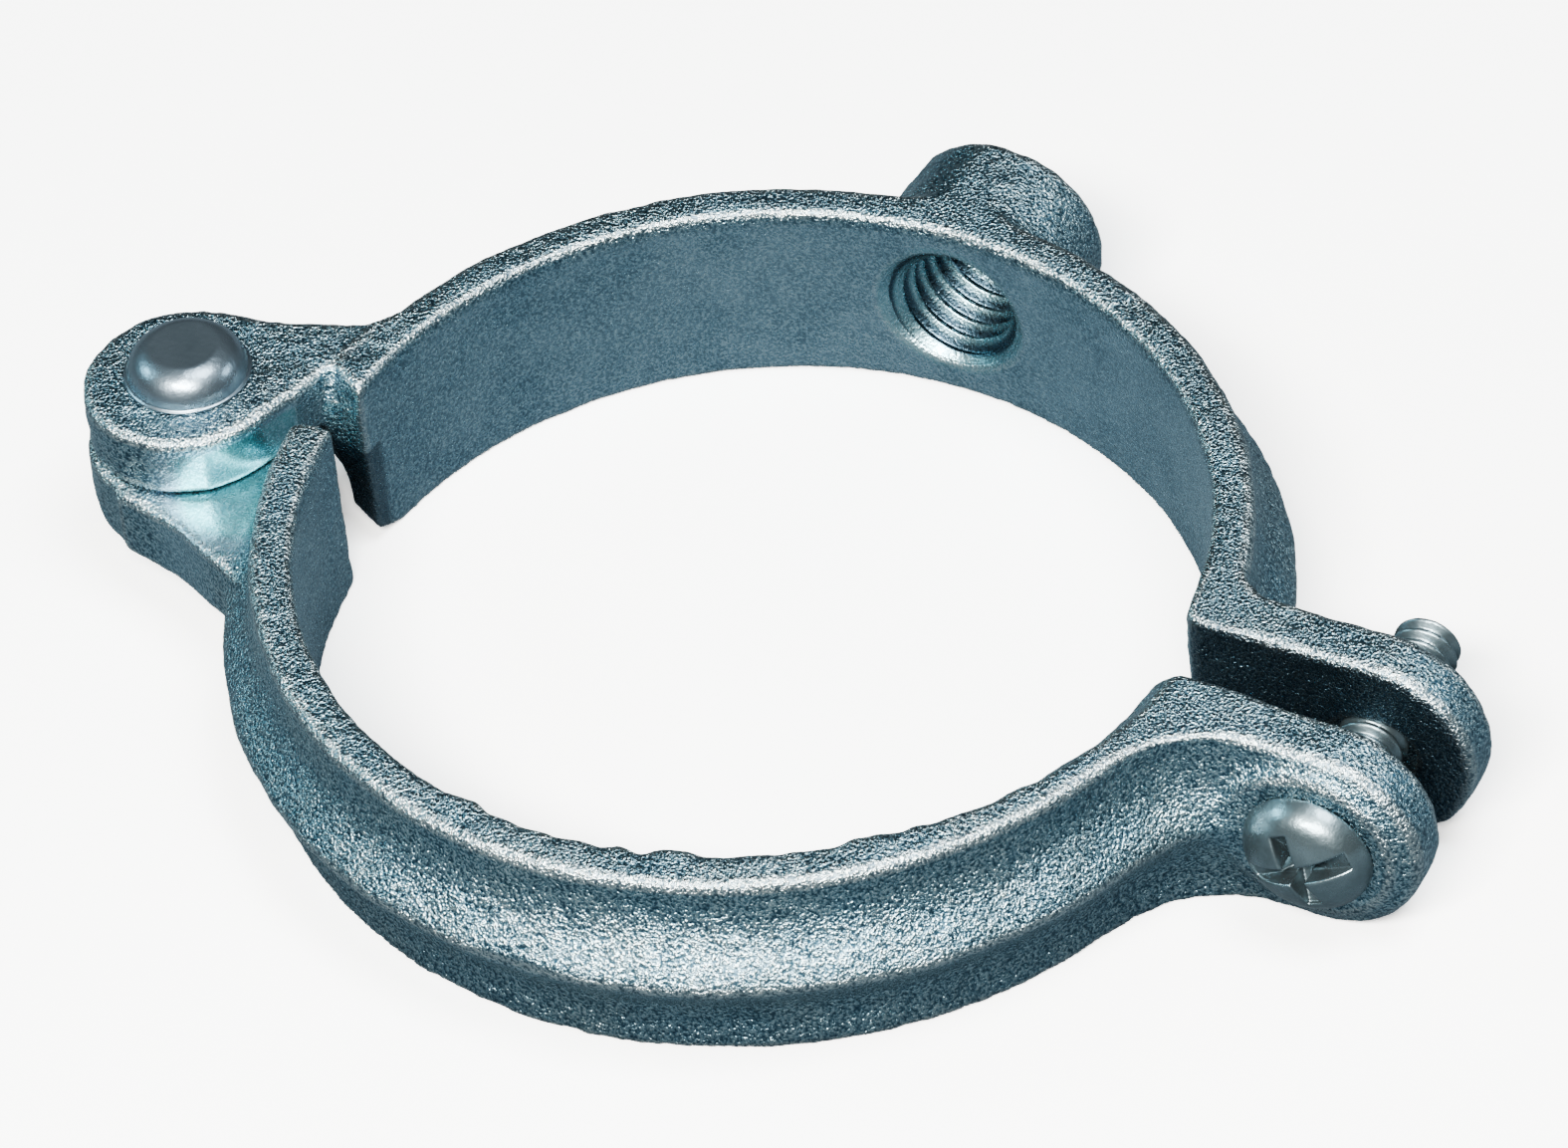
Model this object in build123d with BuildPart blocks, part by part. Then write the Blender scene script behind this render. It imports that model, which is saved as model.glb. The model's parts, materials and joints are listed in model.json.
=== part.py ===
from build123d import *

# Hinged split-ring pipe hanger for 2 inch pipe.
#
# Two cast half rings are riveted together at one side and drawn together by a
# screw through their ears at the other. The rod half carries the threaded boss
# that a hanger rod screws into.
#
# Frame: the ring lies flat on Z = 0 with its axis on Z. The rod boss points to
# +Y, the ears to +X and the hinge to -X. The hinged half stands a little open.

import math
import os

# --- the ring ---------------------------------------------------------------
ring_radius = 31.0
band_thickness = 3.0
band_height = 15.0
band_inner_round = 0.5
band_outer_round = 0.8
outer_radius = ring_radius + band_thickness
wall_middle = ring_radius + band_thickness / 2
mid_height = band_height / 2

# A rib runs round the outside of each half at mid height.
rib_reach = 2.7
rib_foot_low = 3.9
rib_foot_high = 11.0
rib_crest_round = 1.2
rib_foot_round = 1.6

# --- the ears and the clamp screw -------------------------------------------
ear_thickness = 4.1
rod_ear_face_y = 1.8
hinged_ear_face_y = -2.1
ear_edge_round = 0.6
ear_corner_round = 1.2
ear_root_reach = 2.8
ear_root_hollow = 0.7
screw_x = 44.05
pad_base_radius = 7.0
pad_slope = 60.0
pad_height = 0.62
clearance_radius = 2.8

# The tapped hole is let out along X, so that the screw can swing clear of it.
tapped_radius = 2.47
tapped_relief_in = 0.35
tapped_relief_out = 1.2
countersink_depth = 1.0

screw_radius = 2.41
screw_tip_y = 12.8
screw_seat_y = -7.95
screw_tip_bevel = 0.5
head_radius = 4.75
head_rim = 0.8
head_height = 2.9
head_top_radius = 2.0
slot_width = 1.3
slot_depth = 1.1
cross_width = 1.0
cross_length = 5.0
cross_depth = 1.9
slot_angle = 26.0

# --- the rod boss -----------------------------------------------------------
boss_radius = band_height / 2
boss_start_y = 31.9
boss_end_y = 41.2
boss_end_round = 1.3
rod_radius = 3.97
rod_inner_mouth = 5.45
rod_outer_mouth = 4.9
rod_mouth_y = math.sqrt(ring_radius**2 - rod_inner_mouth**2)

# --- the hinge --------------------------------------------------------------
pin_x = -43.1
pin_y = -1.35
lug_radius = 7.4
rod_lug_low = 10.0
rod_lug_high = 14.85
rod_lug_round = 0.5
lug_gap = 0.1
hinged_lug_low = 4.3
hinged_lug_high = rod_lug_low - lug_gap
hinged_lug_round = 1.4
rod_band_end = 175.2
hinged_band_start = 185.4

# Where each lug's round end meets its web, as angles about the pin.
rod_web_back = 90.0
rod_web_front = 296.0
hinged_web_back = 32.0
hinged_web_front = 268.0

rivet_radius = 2.38
rivet_clearance = 0.07
rivet_head_radius = 4.5
rivet_head_rim = 0.35
rivet_head_height = 2.4
rivet_flat_radius = 1.7
rivet_tail_radius = 3.4
rivet_tail_height = 1.5

# How far the hinged half stands open from being concentric with the rod half.
rest_opening = 0.68

# How far a cut runs past what it cuts.
beyond = 10.0

os.makedirs("parts", exist_ok=True)


def turned_ground(opening):
    """The hinged half's own ground plane, turned open about the hinge pin."""
    turn = math.radians(-opening)
    cosine, sine = math.cos(turn), math.sin(turn)
    centre_x = pin_x - pin_x * cosine + pin_y * sine
    centre_y = pin_y - pin_x * sine - pin_y * cosine
    return Plane(origin=(centre_x, centre_y, 0), x_dir=(cosine, sine, 0), z_dir=(0, 0, 1))


def upright(ground, angle):
    """A plane standing on the ring's axis: x runs outwards at angle, y up."""
    turn = math.radians(angle)
    outwards = ground.x_dir * math.cos(turn) + ground.y_dir * math.sin(turn)
    sideways = ground.x_dir * math.sin(turn) - ground.y_dir * math.cos(turn)
    return Plane(origin=ground.origin, x_dir=outwards, z_dir=sideways)


def facing_screw(ground, y):
    """A plane square to the screw at y, facing its head: x out, y up."""
    origin = ground.origin + ground.y_dir * y
    return Plane(origin=origin, x_dir=ground.x_dir, z_dir=-ground.y_dir)


def band_section():
    """The strip and its rounded rib: radius across, height up."""
    with BuildSketch() as section:
        with BuildLine():
            Polyline(
                (ring_radius, 0),
                (outer_radius, 0),
                (outer_radius, rib_foot_low),
                (outer_radius + rib_reach, mid_height),
                (outer_radius, rib_foot_high),
                (outer_radius, band_height),
                (ring_radius, band_height),
                close=True,
            )
        make_face()
        inner, outer, crest = section.vertices().group_by(Axis.X)
        outer = outer.sort_by(Axis.Y)
        corners = [outer[0], outer[3]]
        feet = [outer[1], outer[2]]
        fillet(crest, rib_crest_round)
        fillet(feet, rib_foot_round)
        fillet(corners, band_outer_round)
        fillet(inner, band_inner_round)
    return section.sketch


def ear_outline():
    """An ear seen along the screw: a tongue with a full round end."""
    with BuildSketch() as tongue:
        with Locations(((screw_x + wall_middle) / 2, mid_height)):
            Rectangle(screw_x - wall_middle, band_height)
        with Locations((screw_x, mid_height)):
            Circle(mid_height)
    return tongue.sketch


def ear_root(back_y, away):
    """The hollow fairing, in plan, between an ear's back and the band."""
    band_y = back_y + away * ear_root_reach
    band_x = math.sqrt(outer_radius**2 - band_y**2)
    corner_x = math.sqrt(outer_radius**2 - back_y**2)
    ear_x = corner_x + ear_root_reach
    hollow = (corner_x + ear_root_hollow, back_y + away * ear_root_hollow)
    with BuildSketch() as fairing:
        with BuildLine():
            ThreePointArc((ear_x, back_y), hollow, (band_x, band_y))
            Line((band_x, band_y), (wall_middle, back_y + away))
            Line((wall_middle, back_y + away), (wall_middle, back_y - away))
            Line((wall_middle, back_y - away), (ear_x, back_y - away))
            Line((ear_x, back_y - away), (ear_x, back_y))
        make_face()
    return fairing.sketch


# --- the rod half's ear and hinge lug ---------------------------------------
with BuildPart() as rod_ear:
    with BuildSketch(facing_screw(Plane.XY, rod_ear_face_y)):
        add(ear_outline())
    extrude(amount=-ear_thickness)
    with BuildSketch(Plane.XY):
        add(ear_root(rod_ear_face_y + ear_thickness, 1))
    extrude(amount=band_height)
    fillet(rod_ear.faces().sort_by(Axis.Y)[0].outer_wire().edges(), ear_edge_round)

# The lug's outline is given from the pin: its round end, then the web's back
# and front edges, which run into the band.
with BuildPart() as rod_lug:
    with BuildSketch(Plane((pin_x, pin_y, rod_lug_low))):
        with BuildLine():
            end = CenterArc((0, 0), lug_radius, rod_web_back, rod_web_front - rod_web_back)
            back_edge = (4.4, 7.6), (7.4, 8.7), (9.8, 10.8)
            back = Spline(end @ 0, *back_edge, tangents=[(1, 0), (0.7, 0.7)])
            front_edge = (7.6, -3.65), (8.7, -0.8), (10.6, 3.6)
            front = Spline(end @ 1, *front_edge, tangents=[(0.9, 0.44), (0.8, 1)])
            Line(back @ 1, front @ 1)
        make_face()
    extrude(amount=rod_lug_high - rod_lug_low)
    rim = rod_lug.edges().group_by(Axis.Z)
    for level in (rim[0], rim[-1]):
        fillet(level.filter_by(GeomType.LINE, reverse=True), rod_lug_round)

# --- rod half: the half ring that the hanger rod holds ----------------------
with BuildPart() as rod_half:
    with BuildSketch(upright(Plane.XY, 0)):
        add(band_section())
    revolve(axis=Axis.Z, revolution_arc=rod_band_end)
    add(rod_ear.part)
    add(rod_lug.part)

    # The rod boss starts inside the band's wall.
    with BuildSketch(Plane(origin=(0, boss_start_y, mid_height), x_dir=(-1, 0, 0), z_dir=(0, 1, 0))):
        Circle(boss_radius)
    extrude(amount=boss_end_y - boss_start_y)
    fillet(rod_half.faces().sort_by(Axis.Y)[-1].edges(), boss_end_round)

    # The tapped rod hole, drawn as half its section and turned about the boss.
    with BuildSketch(Plane.XY.offset(mid_height)):
        with BuildLine():
            Polyline(
                (0, ring_radius - beyond),
                (rod_inner_mouth, ring_radius - beyond),
                (rod_inner_mouth, rod_mouth_y),
                (rod_radius, rod_mouth_y + rod_inner_mouth - rod_radius),
                (rod_radius, boss_end_y - rod_outer_mouth + rod_radius),
                (rod_outer_mouth, boss_end_y),
                (rod_outer_mouth, boss_end_y + beyond),
                (0, boss_end_y + beyond),
                close=True,
            )
        make_face()
    revolve(axis=Axis((0, 0, mid_height), (0, 1, 0)), mode=Mode.SUBTRACT)

    # The band and the ear end in one flat face.
    with BuildSketch(Plane.XY):
        with Locations((ring_radius, rod_ear_face_y - beyond / 2)):
            Rectangle(ring_radius, beyond)
    extrude(amount=band_height, mode=Mode.SUBTRACT)
    corner = Vector(math.sqrt(ring_radius**2 - rod_ear_face_y**2), rod_ear_face_y, mid_height)
    fillet(rod_half.edges().filter_by(Axis.Z).sort_by_distance(corner)[0], ear_corner_round)

    # The tapped screw hole, let out along X, with a countersunk mouth.
    relief = tapped_relief_in + tapped_relief_out
    relief_x = screw_x + (tapped_relief_out - tapped_relief_in) / 2
    with BuildSketch(facing_screw(Plane.XY, rod_ear_face_y)):
        with Locations((relief_x, mid_height)):
            SlotCenterToCenter(relief, 2 * tapped_radius)
    extrude(amount=-ear_thickness, mode=Mode.SUBTRACT)
    with BuildSketch(facing_screw(Plane.XY, rod_ear_face_y)):
        with Locations((relief_x, mid_height)):
            SlotCenterToCenter(relief, 2 * (tapped_radius + countersink_depth))
    extrude(amount=-countersink_depth, taper=45, mode=Mode.SUBTRACT)

    # The rivet fills its hole in this lug.
    with BuildSketch(Plane.XY):
        with Locations((pin_x, pin_y)):
            Circle(rivet_radius)
    extrude(amount=band_height, mode=Mode.SUBTRACT)

# --- the hinged half's ear, screw pad and hinge lug -------------------------
hinged_ground = turned_ground(rest_opening)
hinged_ear_back_y = hinged_ear_face_y - ear_thickness

with BuildPart() as hinged_ear:
    with BuildSketch(facing_screw(hinged_ground, hinged_ear_back_y)):
        add(ear_outline())
    extrude(amount=-ear_thickness)
    with BuildSketch(facing_screw(hinged_ground, hinged_ear_back_y)):
        with Locations((screw_x, mid_height)):
            Circle(pad_base_radius)
    extrude(amount=pad_height, taper=pad_slope)
    with BuildSketch(hinged_ground):
        add(ear_root(hinged_ear_back_y, -1))
    extrude(amount=band_height)
    mating = hinged_ear.faces().sort_by(Axis.Y)[-1]
    fillet(mating.outer_wire().edges(), ear_edge_round)

with BuildPart() as hinged_lug:
    with BuildSketch(Plane((pin_x, pin_y, hinged_lug_low), x_dir=hinged_ground.x_dir)):
        with BuildLine():
            end = CenterArc((0, 0), lug_radius, hinged_web_back, hinged_web_front - hinged_web_back)
            back_edge = (7.7, 1.6), (9.0, -1.2), (10.8, -3.9)
            back = Spline(end @ 0, *back_edge, tangents=[(0.6, -0.8), (0.5, -0.8)])
            front_edge = (4.6, -9.4), (7.2, -11.5), (12.3, -16.4)
            front = Spline(end @ 1, *front_edge, tangents=[(1, -0.1), (0.5, -0.8)])
            Line(back @ 1, front @ 1)
        make_face()
    extrude(amount=hinged_lug_high - hinged_lug_low)
    rim = hinged_lug.edges().group_by(Axis.Z)
    fillet(rim[0].filter_by(GeomType.LINE, reverse=True), hinged_lug_round)

# --- hinged half: the half ring that swings on the rivet --------------------
with BuildPart() as hinged_half:
    with BuildSketch(upright(hinged_ground, hinged_band_start)):
        add(band_section())
    revolve(
        axis=Axis(hinged_ground.origin, (0, 0, 1)),
        revolution_arc=360 - hinged_band_start,
    )
    add(hinged_ear.part)
    add(hinged_lug.part)

    with BuildSketch(hinged_ground):
        with Locations((ring_radius, hinged_ear_face_y + beyond / 2)):
            Rectangle(ring_radius, beyond)
    extrude(amount=band_height, mode=Mode.SUBTRACT)

    with BuildSketch(facing_screw(hinged_ground, hinged_ear_back_y - beyond)):
        with Locations((screw_x, mid_height)):
            Circle(clearance_radius)
    extrude(amount=-2 * beyond, mode=Mode.SUBTRACT)

    # The lug turns freely on the rivet.
    with BuildSketch(hinged_ground):
        with Locations((pin_x, pin_y)):
            Circle(rivet_radius + rivet_clearance)
    extrude(amount=band_height, mode=Mode.SUBTRACT)

# --- hinge rivet ------------------------------------------------------------
tail_top_z = hinged_lug_low - lug_gap
tail_low_z = tail_top_z - rivet_tail_height
head_rim_z = rod_lug_high + rivet_head_rim
head_top_z = rod_lug_high + rivet_head_height

with BuildPart() as hinge_rivet:
    with BuildSketch(Plane(origin=(pin_x, pin_y, 0), x_dir=(1, 0, 0), z_dir=(0, -1, 0))):
        with BuildLine():
            Line((0, tail_low_z), (rivet_tail_radius / 2, tail_low_z))
            tail_bow = -rivet_tail_radius
            RadiusArc((rivet_tail_radius / 2, tail_low_z), (rivet_tail_radius, tail_top_z), tail_bow)
            Polyline(
                (rivet_tail_radius, tail_top_z),
                (rivet_radius, tail_top_z),
                (rivet_radius, rod_lug_high),
                (rivet_head_radius, rod_lug_high),
                (rivet_head_radius, head_rim_z),
            )
            TangentArc((rivet_head_radius, head_rim_z), (rivet_flat_radius, head_top_z), tangent=(0, 1))
            Polyline((rivet_flat_radius, head_top_z), (0, head_top_z), (0, tail_low_z))
        make_face()
    revolve(axis=Axis((pin_x, pin_y, 0), (0, 0, 1)))

# --- clamp screw: pan head with a slot and a cross recess -------------------
head_top_y = screw_seat_y - head_height

with BuildPart() as clamp_screw:
    with BuildSketch(Plane((screw_x, 0, mid_height))):
        with BuildLine():
            Polyline(
                (0, head_top_y),
                (0, screw_tip_y),
                (screw_radius - screw_tip_bevel, screw_tip_y),
                (screw_radius, screw_tip_y - screw_tip_bevel),
                (screw_radius, screw_seat_y),
                (head_radius, screw_seat_y),
                (head_radius, screw_seat_y - head_rim),
            )
            rim_end = (head_radius, screw_seat_y - head_rim)
            TangentArc(rim_end, (head_top_radius, head_top_y), tangent=(0, -1))
            Line((head_top_radius, head_top_y), (0, head_top_y))
        make_face()
    revolve(axis=Axis((screw_x, 0, mid_height), (0, 1, 0)))
    head_top = facing_screw(Plane.XY, head_top_y)
    with BuildSketch(head_top):
        with Locations(Location((screw_x, mid_height, 0), (0, 0, slot_angle))):
            Rectangle(3 * head_radius, slot_width)
    extrude(amount=-slot_depth, mode=Mode.SUBTRACT)
    with BuildSketch(head_top):
        with Locations(Location((screw_x, mid_height, 0), (0, 0, slot_angle))):
            Rectangle(cross_length, cross_width)
            Rectangle(cross_width, cross_length)
    extrude(amount=-cross_depth, mode=Mode.SUBTRACT)

# --- finished pieces --------------------------------------------------------
rod_half.part.label = "rod_half"
export_step(rod_half.part, "parts/rod_half.step")

hinged_half.part.label = "hinged_half"
export_step(hinged_half.part, "parts/hinged_half.step")

hinge_rivet.part.label = "hinge_rivet"
export_step(hinge_rivet.part, "parts/hinge_rivet.step")

clamp_screw.part.label = "clamp_screw"
export_step(clamp_screw.part, "parts/clamp_screw.step")
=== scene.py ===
import json
import math

import bpy
import numpy as np
from mathutils import Matrix, Vector


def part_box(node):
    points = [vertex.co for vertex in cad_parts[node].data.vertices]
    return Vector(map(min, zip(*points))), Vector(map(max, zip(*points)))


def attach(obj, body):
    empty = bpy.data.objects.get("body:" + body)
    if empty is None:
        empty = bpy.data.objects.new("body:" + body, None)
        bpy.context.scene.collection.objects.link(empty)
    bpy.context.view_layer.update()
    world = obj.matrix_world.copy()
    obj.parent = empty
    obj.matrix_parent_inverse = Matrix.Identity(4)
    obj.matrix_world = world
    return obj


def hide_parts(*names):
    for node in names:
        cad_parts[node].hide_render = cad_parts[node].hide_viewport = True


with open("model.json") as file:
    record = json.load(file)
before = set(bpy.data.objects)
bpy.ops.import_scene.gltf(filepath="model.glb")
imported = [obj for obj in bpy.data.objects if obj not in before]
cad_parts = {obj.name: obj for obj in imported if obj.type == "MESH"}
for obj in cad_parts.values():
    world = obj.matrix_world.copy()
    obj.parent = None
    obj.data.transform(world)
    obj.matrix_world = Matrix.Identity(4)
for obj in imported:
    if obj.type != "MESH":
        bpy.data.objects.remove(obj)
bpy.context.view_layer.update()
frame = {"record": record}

# ---------------------------------------------------------------------------
# Sizes. Shapes are worked out in millimetres and put into meshes in metres.
# ---------------------------------------------------------------------------
MM = 0.001
INCH = 25.4


def low_high(node):
    """A node's lowest and highest corners, in millimetres."""
    low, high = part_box(node)
    return np.array(low) / MM, np.array(high) / MM


def mount(name):
    """The record's mount of that name."""
    return next(m for m in frame["record"]["mounts"] if m["name"] == name)


def joint(name):
    """The record's joint of that name."""
    return next(j for j in frame["record"]["behaviour"]["joints"] if j["name"] == name)


ROD_HIGH = low_high("rod_half")[1]
SCREW_LOW, SCREW_HIGH = low_high("clamp_screw")
RIVET_LOW, RIVET_HIGH = low_high("hinge_rivet")

# The band: RING is the bore's radius, and the rib stands RIB_REACH proud of the wall.
RING = mount("pipe_seat")["dims"]["r_mm"]
HEIGHT = ROD_HIGH[2]
MIDDLE = HEIGHT / 2
WALL = 3.0
OUTER = RING + WALL
FOOT_SWELL = 0.6
FOOT_HEIGHT = 4
RIB_REACH = 2.7
RIB_HALF = 3.55
CREST_ROUND = 0.45

# The hinge: the upper lug lies on the lower one at the height LAP.
PIN_X, PIN_Y = (np.array(joint("ring_hinge")["pos_m"]) / MM)[:2]
LUG_RADIUS = 7.4
LUG_ROUND = 0.7
LAP = 10.0
LUG_TOP = HEIGHT - 0.15
LUG_FOOT = 4.3

# The clamp screw lies along Y. Its head is at the low end, its tip at the high end.
SCREW_X = (SCREW_LOW[0] + SCREW_HIGH[0]) / 2
SCREW_TIP = SCREW_HIGH[1]
SCREW_TOP = SCREW_LOW[1]
HEAD_RADIUS = (SCREW_HIGH[0] - SCREW_LOW[0]) / 2
HEAD_HEIGHT = 2.9
SHANK_RADIUS = 2.41
SCREW_PITCH = INCH / 24

# The ears: their thickness, and where their mating faces stand along Y.
EAR = 4.1
ROD_EAR_FACE = 1.8
HINGED_EAR_FACE = -2.1
HINGED_EAR_BACK = HINGED_EAR_FACE - EAR
PAD_RADIUS = 5.9
PAD_RISE = 0.62

# Radii of the holes in each casting. The rod half's screw hole is let out along X, towards
# the ring and away from it. The rounds say how softly the rims and the flat faces turn.
ROD_RIVET_HOLE = 2.3
ROD_SCREW_HOLE = 2.47
HINGED_RIVET_HOLE = 2.45
HINGED_SCREW_HOLE = 2.8
LET_IN, LET_OUT = 0.35, 0.85
SCREW_SINK = 0.4
HOLE_ROUND = 0.2
FACE_ROUND = 0.25
BORE_ROUND = 0.35

# The rod hole lies along Y through the boss and is threaded.
BOSS_END = ROD_HIGH[1]
BOSS_DRAFT = 0.02
ROD_MINOR = mount("rod_thread")["dims"]["r_mm"]
ROD_MAJOR = 4.76
ROD_PITCH = INCH / 16
ROD_MOUTH = 5.6
ROD_MOUTH_Y = 30.6
ROD_HOLE_START = 20

# The hinged half stands this far open from being concentric with the rod half.
OPENING = math.radians(0.68)

CAST_STEP = 0.27
FINE_STEP = 0.1

# How far to each side a surface is felt for its bend and its slope, and how much of the
# cast skin's relief pooled zinc fills.
BEND_REACH = 0.35
SLOPE_REACH = 0.1
POOL_FILLS = 0.8


# ---------------------------------------------------------------------------
# Distance fields. Each gives the signed distance, negative inside, of arrays of
# points in millimetres.
# ---------------------------------------------------------------------------
def blend_in(a, b, soft):
    """Smooth union: min(a, b) - soft/4 * h^2, with h = max(1 - |a - b|/soft, 0)."""
    h = np.maximum(1 - np.abs(a - b) / soft, 0)
    return np.minimum(a, b) - soft / 4 * h * h


def trim_to(a, b, soft):
    """Smooth intersection, which rounds the edge where a and b meet."""
    return -blend_in(-a, -b, soft)


def slab(v, low, high):
    """Between two parallel faces: how far v is from their middle, less half their gap."""
    return np.abs(v - (low + high) / 2) - (high - low) / 2


def polygon(x, y, corners):
    """What lies to the left of every side of an outline whose corners run
    counter-clockwise: the greatest distance past its sides."""
    corners = np.array(corners)
    inside = np.full_like(x, -1e3)
    for (ax, ay), (bx, by) in zip(corners, np.roll(corners, -1, axis=0)):
        length = math.hypot(bx - ax, by - ay)
        inside = np.maximum(inside, ((x - ax) * (by - ay) - (y - ay) * (bx - ax)) / length)
    return inside


def on_circle(radius, degrees):
    """The point at an angle on a circle about the ring's axis: its cosine and sine."""
    turn = math.radians(degrees)
    return np.array([math.cos(turn), math.sin(turn)]) * radius


def band(x, y, z):
    """The half ring's wall with its rib: a strip in radius and height, rounder at its top
    edge and a little thicker at its foot, and a wedge whose sides fall from the crest,
    flowed together by coves."""
    radius = np.hypot(x, y)
    foot = FOOT_SWELL * np.clip(1 - z / FOOT_HEIGHT, 0, 1)
    strip = trim_to(slab(radius, RING - 2, OUTER + foot), z - HEIGHT, 1.0)
    strip = trim_to(strip, -z, 0.3)
    side = math.hypot(RIB_REACH, RIB_HALF)
    crest = np.sqrt((z - MIDDLE) ** 2 + CREST_ROUND ** 2) - CREST_ROUND
    rib = ((radius - OUTER - RIB_REACH + 0.08) * RIB_HALF + crest * RIB_REACH) / side
    rib = np.maximum(rib, RING + 1.5 - radius)
    return blend_in(strip, rib, 1.3)


def bore_edge(x, y, z, wear):
    """The pipe's bore with its upper edge bevelled back by the given wear, and a little
    ragged: three sines of the angle round the ring add to the wear where their sum is
    above zero."""
    radius, turn = np.hypot(x, y), np.arctan2(y, x)
    fray = 0.07 * (np.sin(23 * turn) + np.sin(41 * turn + 1) + np.sin(67 * turn + 2))
    wear = wear + np.maximum(fray, 0)
    bevel = (z - HEIGHT - radius + RING + wear) / math.sqrt(2)
    return trim_to(RING - radius, bevel, 0.5)


def tongue(x, y, z, face, back):
    """An ear: everything within half the height of a line along X, cut to its thickness."""
    along = x - np.clip(x, RING, SCREW_X)
    outline = np.hypot(along, z - MIDDLE) - HEIGHT / 2
    return trim_to(outline, slab(y, min(face, back), max(face, back)), 0.9)


def grain(points, size, seed):
    """Value noise from -1 to 1: random values on a lattice of the given size, from a
    hash of the lattice corner, joined by the smooth curve t*t*(3 - 2t)."""
    cell = points / size
    corner = np.floor(cell).astype(np.int64)
    t = cell - corner
    t = t * t * (3 - 2 * t)
    total = np.zeros(len(points))
    for i in (0, 1):
        for j in (0, 1):
            for k in (0, 1):
                code = (corner[:, 0] + i) * 73856093 ^ (corner[:, 1] + j) * 19349663
                code = code ^ (corner[:, 2] + k) * 83492791 ^ seed * 2654435761
                code = (code ^ (code >> 13)) * 1274126177 & 0x7FFFFFFF
                value = (code ^ (code >> 16)) % 65536 / 32767.5 - 1
                weight = np.where(i, t[:, 0], 1 - t[:, 0])
                weight = weight * np.where(j, t[:, 1], 1 - t[:, 1])
                weight = weight * np.where(k, t[:, 2], 1 - t[:, 2])
                total += value * weight
    return total


def cast_skin(points):
    """Sand-cast relief in millimetres: swells, lumps and grit, each a value noise of its
    own size."""
    swell = 0.07 * grain(points, 7.0, 1) + 0.06 * grain(points, 3.1, 2)
    return swell + 0.045 * grain(points, 1.3, 3) + 0.05 * grain(points, 0.62, 4)


# ---------------------------------------------------------------------------
# Meshes
# ---------------------------------------------------------------------------
def surface_net(field, low, high, step):
    """The surface where field is zero, as points and quads. The box is cut into cells;
    each cell that the surface crosses gets one point, the mean of its edge crossings,
    and each crossed grid edge gets one quad between the four cells around it."""
    axes = [np.arange(a - 2 * step, b + 3 * step, step) for a, b in zip(low, high)]
    grid = np.meshgrid(*axes, indexing="ij")
    value = field(*grid)
    inside = value < 0
    count = np.array(value.shape)
    corners = [(i, j, k) for i in (0, 1) for j in (0, 1) for k in (0, 1)]

    def cells(array, corner):
        """The array's values at one corner of every cell."""
        return array[tuple(slice(c, n - 1 + c) for c, n in zip(corner, count))]

    full = sum(cells(inside, c).astype(np.int8) for c in corners)
    crossed = (full > 0) & (full < 8)
    where = np.argwhere(crossed)
    number = np.full(crossed.shape, -1, np.int64)
    number[crossed] = np.arange(len(where))
    total = np.zeros((len(where), 3))
    hits = np.zeros(len(where))
    for start in corners:
        for axis in range(3):
            if start[axis]:
                continue
            end = np.array(start)
            end[axis] = 1
            first = value[tuple((where + start).T)]
            second = value[tuple((where + end).T)]
            cut = (first < 0) != (second < 0)
            part = np.where(cut, first / np.where(cut, first - second, 1), 0)
            spot = where + np.array(start, float)
            spot[:, axis] += part
            total += spot * cut[:, None]
            hits += cut
    origin = np.array([a[0] for a in axes])
    points = origin + total / hits[:, None] * step
    quads = []
    for axis in range(3):
        ahead = np.eye(3, dtype=int)[axis]
        other = [a for a in range(3) if a != axis]
        here = inside[tuple(slice(0, n - s) for n, s in zip(count, ahead))]
        there = inside[tuple(slice(s, n) for n, s in zip(count, ahead))]
        edge = np.argwhere(here != there)
        keep = np.all((edge[:, other] > 0) & (edge[:, other] < count[other] - 1), axis=1)
        edge = edge[keep]
        leaving = here[tuple(edge.T)]
        ring = []
        for du, dv in ((-1, -1), (0, -1), (0, 0), (-1, 0)):
            cell = edge.copy()
            cell[:, other[0]] += du
            cell[:, other[1]] += dv
            ring.append(number[tuple(cell.T)])
        ring = np.stack(ring, axis=1)
        flip = leaving if axis == 1 else ~leaving
        ring[flip] = ring[flip][:, ::-1]
        quads.append(ring)
    return points, np.concatenate(quads)


def slope(field, points, reach):
    """The field's unit gradient at the points, by central differences: outwards."""
    steps = np.eye(3) * reach
    parts = [field(*(points + s).T) - field(*(points - s).T) for s in steps]
    across = np.stack(parts, axis=1)
    return across / np.maximum(np.linalg.norm(across, axis=1), 1e-9)[:, None]


def bend(field, points, reach):
    """How sharply the surface turns, from -1 in a hollow to 1 on an edge: the field's
    Laplacian by differences, which is the sum of its two curvatures."""
    steps = np.vstack([np.eye(3), -np.eye(3)]) * reach
    rise = sum(field(*(points + s).T) for s in steps) - 6 * field(*points.T)
    return np.clip(rise / reach ** 2, -1, 1)


def put_mesh(name, points, faces, **marks):
    """A smooth-shaded object at the origin, from points in millimetres and faces. Each
    mark is a value for every point, for the materials to read."""
    mesh = bpy.data.meshes.new(name)
    mesh.from_pydata((points * MM).tolist(), [], np.asarray(faces).tolist())
    mesh.polygons.foreach_set("use_smooth", np.ones(len(mesh.polygons), bool))
    for mark, values in marks.items():
        layer = mesh.attributes.new(mark, "FLOAT", "POINT")
        layer.data.foreach_set("value", np.broadcast_to(values, len(points)).astype(np.float32))
    mesh.update()
    piece = bpy.data.objects.new(name, mesh)
    bpy.context.collection.objects.link(piece)
    return piece


def within(v, low, high, soft):
    """1 between low and high, falling to 0 over soft on both sides."""
    return np.clip((v - low) / soft + 1, 0, 1) * np.clip((high - v) / soft + 1, 0, 1)


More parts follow.
